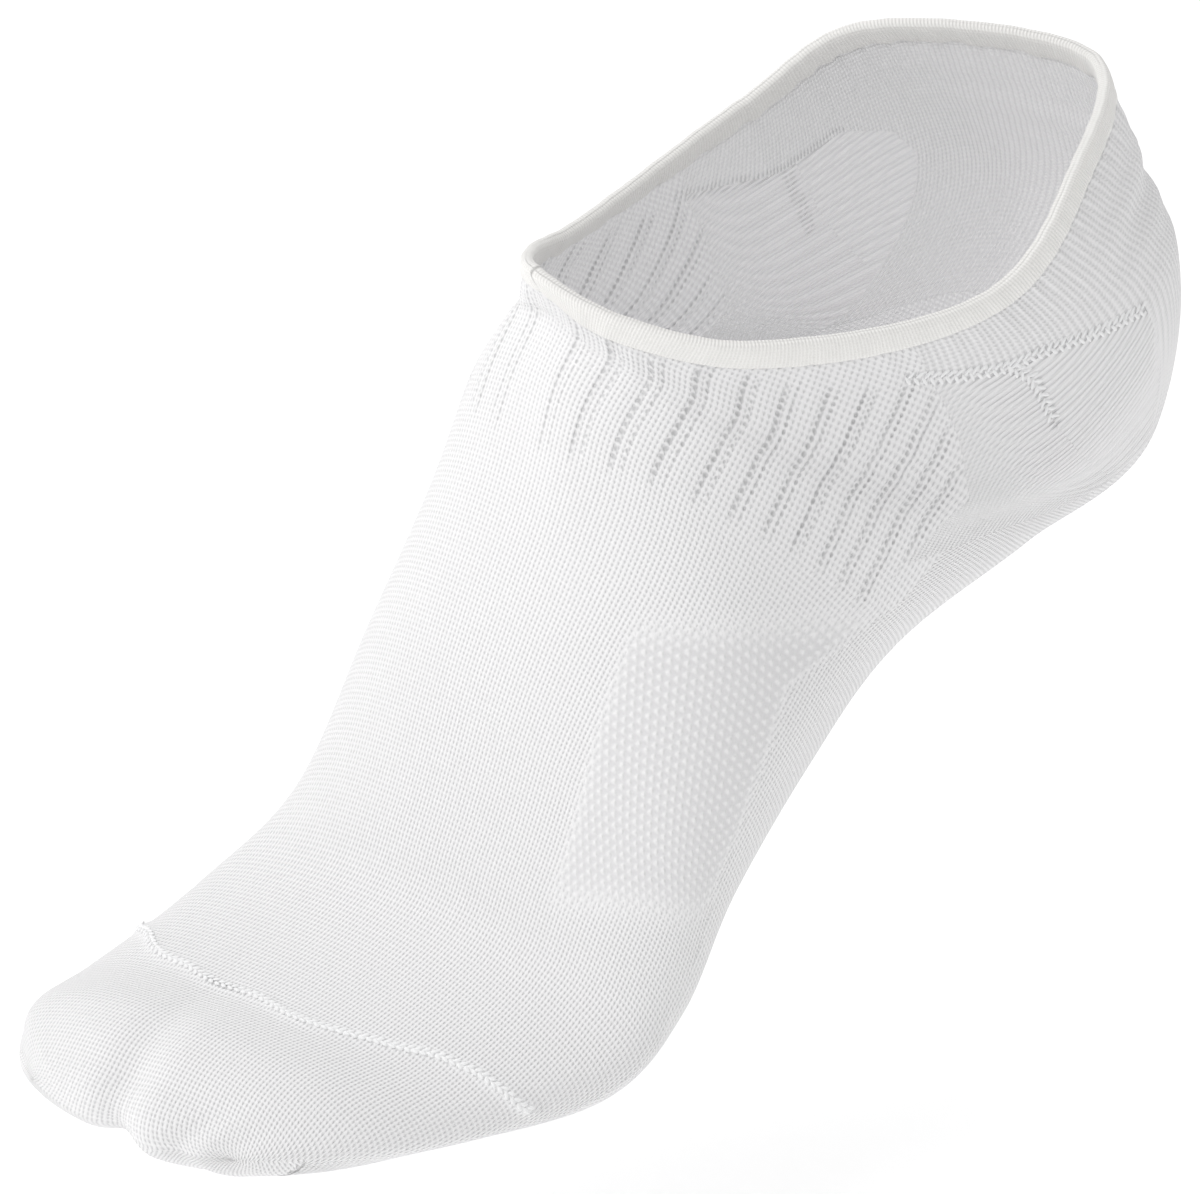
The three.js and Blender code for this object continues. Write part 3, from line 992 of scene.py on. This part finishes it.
def makeBand():
    count = bandShape["columns"]
    columns = (np.arange(count) * form["angleSteps"] / count).astype(int)
    angle = columns * 360 / form["angleSteps"]
    total = field["total"][columns]
    edges = sampleLines(columns, total[None, :])["points"][0]
    roots = sampleLines(columns, (total - bandShape["height"])[None, :])["points"][0]
    rises = edges - roots
    rises /= np.linalg.norm(rises, axis=1, keepdims=True)

    def outwardOf(ring):
        found = np.cross(np.roll(ring, -1, 0) - np.roll(ring, 1, 0), rises)
        return found / np.linalg.norm(found, axis=1, keepdims=True)

    edgeOut = outwardOf(edges)
    rootOut = outwardOf(roots)
    around = np.concatenate([[0], np.cumsum(np.linalg.norm(np.diff(edges, axis=0), axis=1))])
    turn = np.radians(angle)
    wave = np.sin(37 * turn + 2 * np.sin(3 * turn)) + 0.8 * np.sin(59 * turn + 1.4 * np.sin(5 * turn))
    points = []
    marks = []
    for corner in range(bandShape["corners"]):
        at = 2 * math.pi * corner / bandShape["corners"]
        up = abs(math.cos(at))
        out = abs(math.sin(at))
        power = bandShape["squareness"]
        swell = (up ** power + out ** power) ** (-1 / power)
        height = (1 + swell * math.cos(at)) / 2
        outward = rootOut * (1 - height) + edgeOut * height
        outward /= np.linalg.norm(outward, axis=1, keepdims=True)
        offset = bandShape["thickness"] / 2 * swell * math.sin(at) - bandShape["wall"] / 2
        low = (1 - height) ** 2
        ripple = bandShape["rippleOut"] * wave * (0.4 + low)
        place = roots + (edges - roots) * height + outward * (offset + ripple)[:, None]
        points.append(place + rises * (bandShape["rippleUp"] * wave * low)[:, None])
        across = height * bandShape["height"] + (0 if math.sin(at) > 0 else bandShape["insideShift"])
        marks.append(np.stack([around, np.full(count, across), np.zeros(count)], -1))
    points = np.array(points).swapaxes(0, 1)
    marks = np.array(marks).swapaxes(0, 1)
    corners = bandShape["corners"]
    faces = []
    # The ring is left open underneath, where the cloth of the sock runs up into it
    for corner in range(corners):
        at = 2 * math.pi * (corner + 0.5) / corners
        if math.cos(at) < 0 and abs(math.sin(at)) < bandShape["openShare"]:
            continue
        after = (corner + 1) % corners
        for column in range(count):
            here = column * corners
            there = (column + 1) % count * corners
            faces.append((here + corner, here + after, there + after, there + corner))
    values = {"bandKnit": marks.reshape(-1, 3)}
    piece = addMesh("opening_band", points.reshape(-1, 3), faces, (bandKnit,), None, values)
    reworkMesh(piece, dropLoosePoints)
    return piece


band = makeBand()
print("band made")


# Stitches along the seams
stitches = {
    "toe_seam_loops": {"lines": ("toeSeam",), "pitch": 1.35, "size": (1.5, 0.75, 0.4),
                       "slant": 30, "lift": -0.04, "apart": 0.42},
    "gore_stitches": {"lines": ("goreNear", "goreNearBranch", "goreFar", "goreFarBranch"),
                      "pitch": 1.6, "size": (2.1, 0.7, 0.42), "slant": 48, "lift": 0.08,
                      "apart": 0.6},
}

stitchRow = {
    "shift": 0.25,
    "jitter": 0.16,
    "seed": 4,
}


def stitchTree():
    tree = bpy.data.node_groups.new("stitch_row", "GeometryNodeTree")
    tree.is_modifier = True
    face = tree.interface
    for name, kind in (("Geometry", "Geometry"), ("Size", "Vector"), ("Jitter", "Float"), ("Seed", "Int"),
                       ("Yarn", "Material")):
        face.new_socket(name, in_out="INPUT", socket_type="NodeSocket" + kind)
    face.new_socket("Geometry", in_out="OUTPUT", socket_type="NodeSocketGeometry")
    net = Net(tree)
    start = net.node("NodeGroupInput")
    points = net.node("GeometryNodeMeshToPoints")
    ball = net.node("GeometryNodeMeshIcoSphere")
    net.fill(ball, {"Radius": 0.5, "Subdivisions": 2})

    def named(name, kind):
        made = net.node("GeometryNodeInputNamedAttribute", data_type=kind)
        made.inputs["Name"].default_value = name
        return made.outputs["Attribute"]

    facing = net.node("FunctionNodeAxesToRotation", primary_axis="Z", secondary_axis="X")
    net.feed(facing.inputs[0], named("outward", "FLOAT_VECTOR"))
    net.feed(facing.inputs[1], named("heading", "FLOAT_VECTOR"))
    random = net.node("FunctionNodeRandomValue", data_type="FLOAT")
    used = [socket for socket in random.inputs if socket.enabled]
    low, high, seed = [socket for socket in used if socket.name in ("Min", "Max", "Seed")]
    net.feed(low, net.times(start.outputs["Jitter"], -1.0))
    net.feed(high, start.outputs["Jitter"])
    net.feed(seed, start.outputs["Seed"])
    value = [socket for socket in random.outputs if socket.enabled][0]
    lean = net.node("ShaderNodeCombineXYZ")
    net.feed(lean.inputs[2], net.add(named("slant", "FLOAT"), value))
    turned = net.node("FunctionNodeRotateRotation", rotation_space="LOCAL")
    asTurn = net.node("FunctionNodeEulerToRotation")
    net.feed(asTurn.inputs[0], lean.outputs[0])
    net.feed(turned.inputs[0], facing.outputs[0])
    net.feed(turned.inputs[1], asTurn.outputs[0])
    place = net.node("GeometryNodeInstanceOnPoints")
    net.feed(points.inputs["Mesh"], start.outputs["Geometry"])
    net.fill(place, {"Points": points.outputs[0], "Instance": ball.outputs[0],
                     "Rotation": turned.outputs[0], "Scale": start.outputs["Size"]})
    whole = net.node("GeometryNodeRealizeInstances")
    net.feed(whole.inputs[0], place.outputs[0])
    smooth = net.node("GeometryNodeSetShadeSmooth")
    net.feed(smooth.inputs[0], whole.outputs[0])
    dressed = net.node("GeometryNodeSetMaterial")
    net.fill(dressed, {"Geometry": smooth.outputs[0], "Material": start.outputs["Yarn"]})
    end = net.node("NodeGroupOutput")
    net.feed(end.inputs[0], dressed.outputs[0])
    return tree


def reliefAt(line):
    # The seams lie clear of the openwork and of the valleys over the toes
    shape = (1, len(line["angle"]))
    grid = {
        "points": line["points"][None],
        "angle": line["angle"][None],
        "back": line["back"][None],
        "wale": np.full(shape, 200.0),
        "length": np.zeros(shape),
        "fromToe": np.full(shape, 60.0),
    }
    whole, fine = wallRelief(grid)[:2]
    return (whole + fine)[0]


def makeStitches(name, tree):
    setting = stitches[name]
    places, outwards, headings, slants = [], [], [], []
    for lineName in setting["lines"]:
        line = lineOnSurface(lineRows(lineName), setting["pitch"])
        heading = np.gradient(line["points"], axis=0)
        heading /= np.linalg.norm(heading, axis=1, keepdims=True)
        across = np.cross(line["outward"], heading)
        rise = reliefAt(line) + setting["lift"]
        for way in (1, -1):
            place = line["points"] + line["outward"] * rise[:, None] + across * way * setting["apart"]
            places.append(place + heading * (stitchRow["shift"] * way))
            outwards.append(line["outward"])
            headings.append(heading)
            slants.append(np.full(len(place), math.radians(setting["slant"]) * way))
    mesh = bpy.data.meshes.new(name + "_points")
    mesh.from_pydata((np.concatenate(places) * millimetre).tolist(), [], [])
    for key, values in (("outward", outwards), ("heading", headings)):
        layer = mesh.attributes.new(key, "FLOAT_VECTOR", "POINT")
        layer.data.foreach_set("vector", np.concatenate(values).astype(np.float32).ravel())
    layer = mesh.attributes.new("slant", "FLOAT", "POINT")
    layer.data.foreach_set("value", np.concatenate(slants).astype(np.float32))
    carrier = addObject(name + "_points", mesh)
    modifier = carrier.modifiers.new("stitches", "NODES")
    modifier.node_group = tree
    size = [side * millimetre for side in setting["size"]]
    wanted = {"Size": size, "Jitter": stitchRow["jitter"], "Seed": stitchRow["seed"], "Yarn": yarn}
    for socket in tree.interface.items_tree:
        if socket.in_out == "INPUT" and socket.name in wanted:
            modifier[socket.identifier] = wanted[socket.name]
    bpy.context.view_layer.update()
    graph = bpy.context.evaluated_depsgraph_get()
    made = bpy.data.meshes.new_from_object(carrier.evaluated_get(graph))
    piece = addObject(name, made)
    bpy.data.objects.remove(carrier)
    return piece


tree = stitchTree()
seamPieces = [makeStitches(name, tree) for name in stitches]
print("stitches made", [len(piece.data.polygons) for piece in seamPieces])


# Floor, light and camera
studio = {
    "floorColour": (0.93, 0.93, 0.93, 1),
    "floorGlow": 0.32,
    "floorHalf": 6000,
    "floorLevel": -168,
    "world": 0.6,
    "aim": (0, -0.04, -0.06),
    # name, azimuth and height of the light in degrees, distance and width in metres, watts
    "lamps": (
        ("key", -25, 50, 1.6, 1.6, 10.5),
        ("left", -60, 35, 1.6, 1.4, 3),
        ("top", 30, 80, 1.7, 1.2, 1.5),
    ),
}


def makeFloor():
    material, net = newMaterial("studio_floor")
    shader = net.node("ShaderNodeBsdfPrincipled")
    net.fill(shader, {"Base Color": studio["floorColour"], "Roughness": 0.9, "Specular IOR Level": 0.1,
                      "Emission Color": (1, 1, 1, 1), "Emission Strength": studio["floorGlow"]})
    net.finish(shader)
    half = studio["floorHalf"]
    ring = ((-half, -half), (half, -half), (half, half), (-half, half))
    corners = [(x, y, studio["floorLevel"]) for x, y in ring]
    return addMesh("studio_floor", corners, [(0, 1, 2, 3)], (material,))


floor = makeFloor()


def direction(azimuth, elevation):
    a = math.radians(azimuth)
    e = math.radians(elevation)
    return np.array([math.sin(a) * math.cos(e), -math.cos(a) * math.cos(e), math.sin(e)])


def makeStudio():
    world = bpy.data.worlds.new("studio")
    world.use_nodes = True
    sky = world.node_tree.nodes["Background"]
    sky.inputs[0].default_value = (1, 1, 1, 1)
    sky.inputs[1].default_value = studio["world"]
    bpy.context.scene.world = world
    for name, azimuth, elevation, distance, width, power in studio["lamps"]:
        data = bpy.data.lights.new(name, "AREA")
        data.shape = "DISK"
        data.size = width
        data.energy = power
        lamp = addObject(name, data)
        lamp.location = np.array(studio["aim"]) + distance * direction(azimuth, elevation)
        lamp.rotation_euler = Vector(-direction(azimuth, elevation)).to_track_quat("-Z", "Y").to_euler()


# The camera stands where the photo was taken. The shifts are in pixels of a picture 1200 wide.
view = {
    "azimuth": 52,
    "elevation": 29.8,
    "distance": 2.264,
    "aim": (0, -0.038, -0.069),
    "pixelsPerMetre": 5880,
    "pictureWidth": 1200,
    "shift": (-66, 17),
}


def makeCamera():
    toward = direction(view["azimuth"], view["elevation"])
    data = bpy.data.cameras.new("camera")
    camera = addObject("camera", data)
    camera.location = np.array(view["aim"]) + view["distance"] * toward
    camera.rotation_euler = Vector(-toward).to_track_quat("-Z", "Y").to_euler()
    data.lens = data.sensor_width * view["pixelsPerMetre"] * view["distance"] / view["pictureWidth"]
    data.shift_x, data.shift_y = (side / view["pictureWidth"] for side in view["shift"])
    data.clip_end = 50
    bpy.context.scene.camera = camera


makeStudio()
makeCamera()
bpy.context.scene.view_settings.view_transform = "Standard"

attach(sock, "root")
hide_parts("sock_body", "toe_pocket")
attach(band, "root")
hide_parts("top_band")
for piece in seamPieces:
    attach(piece, "root")
